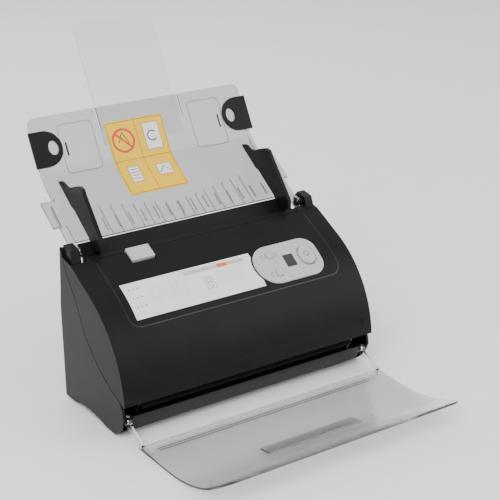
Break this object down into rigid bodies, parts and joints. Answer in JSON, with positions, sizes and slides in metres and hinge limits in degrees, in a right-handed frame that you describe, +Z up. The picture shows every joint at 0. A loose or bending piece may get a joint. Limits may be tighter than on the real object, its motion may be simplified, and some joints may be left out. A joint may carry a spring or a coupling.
{
  "type": "sheet fed document scanner",
  "caption": "Desktop sheet fed document scanner with an opening curved cover, transparent feed chute with extension, sliding paper guides and fold-up clear output tray.",
  "frame": {"origin": "bottom centre of the bounding box of the scanner at rest with its tray and chute deployed", "axes": "+Z up, +X to the scanner's right seen from its front, the output tray at the front towards -Y, the chute at the back towards +Y"},
  "size_m": [0.33, 0.4708, 0.3887],
  "materials": {
    "textured_black_plastic": "fine moulded grain",
    "dark_grey_plastic": "fine moulded grain",
    "inner_black_plastic": "smooth satin",
    "guide_black_plastic": "satin",
    "zinc_plated_steel": "zinc plated",
    "rubber": "matte",
    "acetal_white": "natural acetal",
    "circuit_board": "green solder mask",
    "smoke_clear_plastic": "smoke grey transparent",
    "frosted_clear_plastic": "pale translucent",
    "clear_plastic": "clear moulded",
    "yellow_label": "printed film",
    "panel_grey_plastic": "painted satin",
    "white_label": "printed film",
    "display_black": "dark window",
    "sensor_glass": "flat glass"
  },
  "bodies": {
    "casing": {"side_panel_left": "dark_grey_plastic", "side_panel_right": "dark_grey_plastic", "hinge_block_left": "textured_black_plastic", "hinge_block_right": "textured_black_plastic", "frame_plate_left": "zinc_plated_steel", "frame_plate_right": "zinc_plated_steel", "rubber_foot_front_left": "rubber", "rubber_foot_front_right": "rubber", "rubber_foot_rear_left": "rubber", "rubber_foot_rear_right": "rubber", "cover_pin_left": "zinc_plated_steel", "cover_pin_right": "zinc_plated_steel", "rear_cover": "textured_black_plastic", "base_plate": "textured_black_plastic", "front_skirt": "textured_black_plastic", "paper_bed": "inner_black_plastic", "lower_guide": "inner_black_plastic", "motor": "zinc_plated_steel", "lower_image_sensor": "inner_black_plastic", "lower_sensor_glass": "sensor_glass", "main_board": "circuit_board", "power_jack": "inner_black_plastic", "usb_port": "zinc_plated_steel"},
    "cover": {"cover_shell": "textured_black_plastic", "cover_inner_guide": "inner_black_plastic", "control_panel": "panel_grey_plastic", "display_window": "display_black", "label_strip": "white_label", "panel_board": "circuit_board", "separation_pad": "rubber", "upper_image_sensor": "inner_black_plastic", "upper_sensor_glass": "sensor_glass"},
    "chute": {"chute": "smoke_clear_plastic", "chute_label": "yellow_label", "chute_clip_left": "guide_black_plastic", "chute_clip_right": "guide_black_plastic"},
    "extension": {"chute_extension": "frosted_clear_plastic"},
    "tray": {"output_tray": "clear_plastic"},
    "stopper": {"tray_stopper": "clear_plastic"},
    "guide_left": {"paper_guide_left": "guide_black_plastic", "guide_rack_left": "inner_black_plastic"},
    "guide_right": {"paper_guide_right": "guide_black_plastic", "guide_rack_right": "inner_black_plastic"},
    "guide_pinion": {"guide_pinion": "acetal_white"},
    "feed": {"feed_roller": "rubber", "feed_gear": "acetal_white"},
    "drive": {"drive_roller": "rubber", "drive_gear": "acetal_white"},
    "exit": {"exit_roller": "rubber", "exit_gear": "acetal_white"},
    "exit_idler": {"exit_idler": "acetal_white"},
    "feed_idler": {"feed_idler": "acetal_white"},
    "motor_pinion": {"motor_pinion": "zinc_plated_steel"},
    "drive_pinch": {"drive_pinch_roller": "rubber"},
    "exit_pinch": {"exit_pinch_roller": "rubber"},
    "release_tab": {"release_tab": "panel_grey_plastic"},
    "scan_button": {"scan_button": "panel_grey_plastic"},
    "page_up_button": {"page_up_button": "panel_grey_plastic"},
    "page_down_button": {"page_down_button": "panel_grey_plastic"},
    "power_switch": {"power_switch": "textured_black_plastic"}
  },
  "joints": [
    {"name": "cover_open", "type": "hinge", "parent": "casing", "child": "cover", "pos_m": [0, -0.0561, 0.048], "axis": [-1, 0, 0], "range_deg": [-46, 0]},
    {"name": "chute_tilt", "type": "hinge", "parent": "casing", "child": "chute", "pos_m": [0, 0.0629, 0.174], "axis": [1, 0, 0], "range_deg": [-25, 0]},
    {"name": "extension_slide", "type": "slide", "parent": "chute", "child": "extension", "axis": [0, 0.4617, 0.887], "range_m": [-0.095, 0]},
    {"name": "tray_fold", "type": "hinge", "parent": "casing", "child": "tray", "pos_m": [0, -0.0531, 0.022], "axis": [-1, 0, 0], "range_deg": [0, 82]},
    {"name": "stopper_flip", "type": "hinge", "parent": "tray", "child": "stopper", "pos_m": [0, -0.1591, 0.00443], "axis": [1, 0, 0], "range_deg": [-80, 0]},
    {"name": "guide_left_slide", "type": "slide", "parent": "casing", "child": "guide_left", "axis": [1, 0, 0], "range_m": [0, 0.07]},
    {"name": "guide_right_slide", "type": "slide", "parent": "casing", "child": "guide_right", "axis": [1, 0, 0], "range_m": [-0.07, 0]},
    {"name": "guide_pinion_turn", "type": "hinge", "parent": "casing", "child": "guide_pinion", "pos_m": [0, 0.05602, 0.14059], "axis": [0, -0.8078, 0.5895], "range_deg": [-382, 0]},
    {"name": "feed_roller_spin", "type": "hinge", "parent": "casing", "child": "feed", "pos_m": [0, 0.02912, 0.10823], "axis": [1, 0, 0], "continuous": true},
    {"name": "drive_roller_spin", "type": "hinge", "parent": "casing", "child": "drive", "pos_m": [0, 0.00032, 0.07548], "axis": [1, 0, 0], "continuous": true},
    {"name": "exit_roller_spin", "type": "hinge", "parent": "casing", "child": "exit", "pos_m": [0, -0.0299, 0.04847], "axis": [1, 0, 0], "continuous": true},
    {"name": "exit_idler_spin", "type": "hinge", "parent": "casing", "child": "exit_idler", "pos_m": [0, 0.00128, 0.04399], "axis": [1, 0, 0], "continuous": true},
    {"name": "feed_idler_spin", "type": "hinge", "parent": "casing", "child": "feed_idler", "pos_m": [0, 0.03454, 0.07112], "axis": [1, 0, 0], "continuous": true},
    {"name": "motor_spin", "type": "hinge", "parent": "casing", "child": "motor_pinion", "pos_m": [0, 0.04377, 0.04575], "axis": [1, 0, 0], "continuous": true},
    {"name": "drive_pinch_spin", "type": "hinge", "parent": "cover", "child": "drive_pinch", "pos_m": [0, -0.00988, 0.08689], "axis": [1, 0, 0], "continuous": true},
    {"name": "exit_pinch_spin", "type": "hinge", "parent": "cover", "child": "exit_pinch", "pos_m": [0, -0.0401, 0.05988], "axis": [1, 0, 0], "continuous": true},
    {"name": "release_tab_slide", "type": "slide", "parent": "cover", "child": "release_tab", "axis": [0, -0.8829, -0.4695], "range_m": [0, 0.002], "stiffness_N_per_m": 400},
    {"name": "scan_button_press", "type": "slide", "parent": "cover", "child": "scan_button", "axis": [0, 0.4695, -0.8829], "range_m": [0, 0.001], "stiffness_N_per_m": 600},
    {"name": "page_up_button_press", "type": "slide", "parent": "cover", "child": "page_up_button", "axis": [0, 0.4695, -0.8829], "range_m": [0, 0.001], "stiffness_N_per_m": 600},
    {"name": "page_down_button_press", "type": "slide", "parent": "cover", "child": "page_down_button", "axis": [0, 0.4695, -0.8829], "range_m": [0, 0.001], "stiffness_N_per_m": 600},
    {"name": "power_switch_rock", "type": "hinge", "parent": "casing", "child": "power_switch", "pos_m": [0, 0.0739, 0.042], "axis": [1, 0, 0], "range_deg": [0, 7]}
  ],
  "couplings": [
    {"joint": "exit_roller_spin", "follows": "drive_roller_spin", "ratio": 1},
    {"joint": "exit_idler_spin", "follows": "drive_roller_spin", "ratio": -1.1},
    {"joint": "feed_idler_spin", "follows": "drive_roller_spin", "ratio": -0.91667},
    {"joint": "feed_roller_spin", "follows": "drive_roller_spin", "ratio": 0.84615},
    {"joint": "motor_spin", "follows": "drive_roller_spin", "ratio": 1.8333},
    {"joint": "guide_right_slide", "follows": "guide_left_slide", "ratio": -1},
    {"joint": "guide_pinion_turn", "follows": "guide_left_slide", "rad_per_m": -95.238}
  ]
}
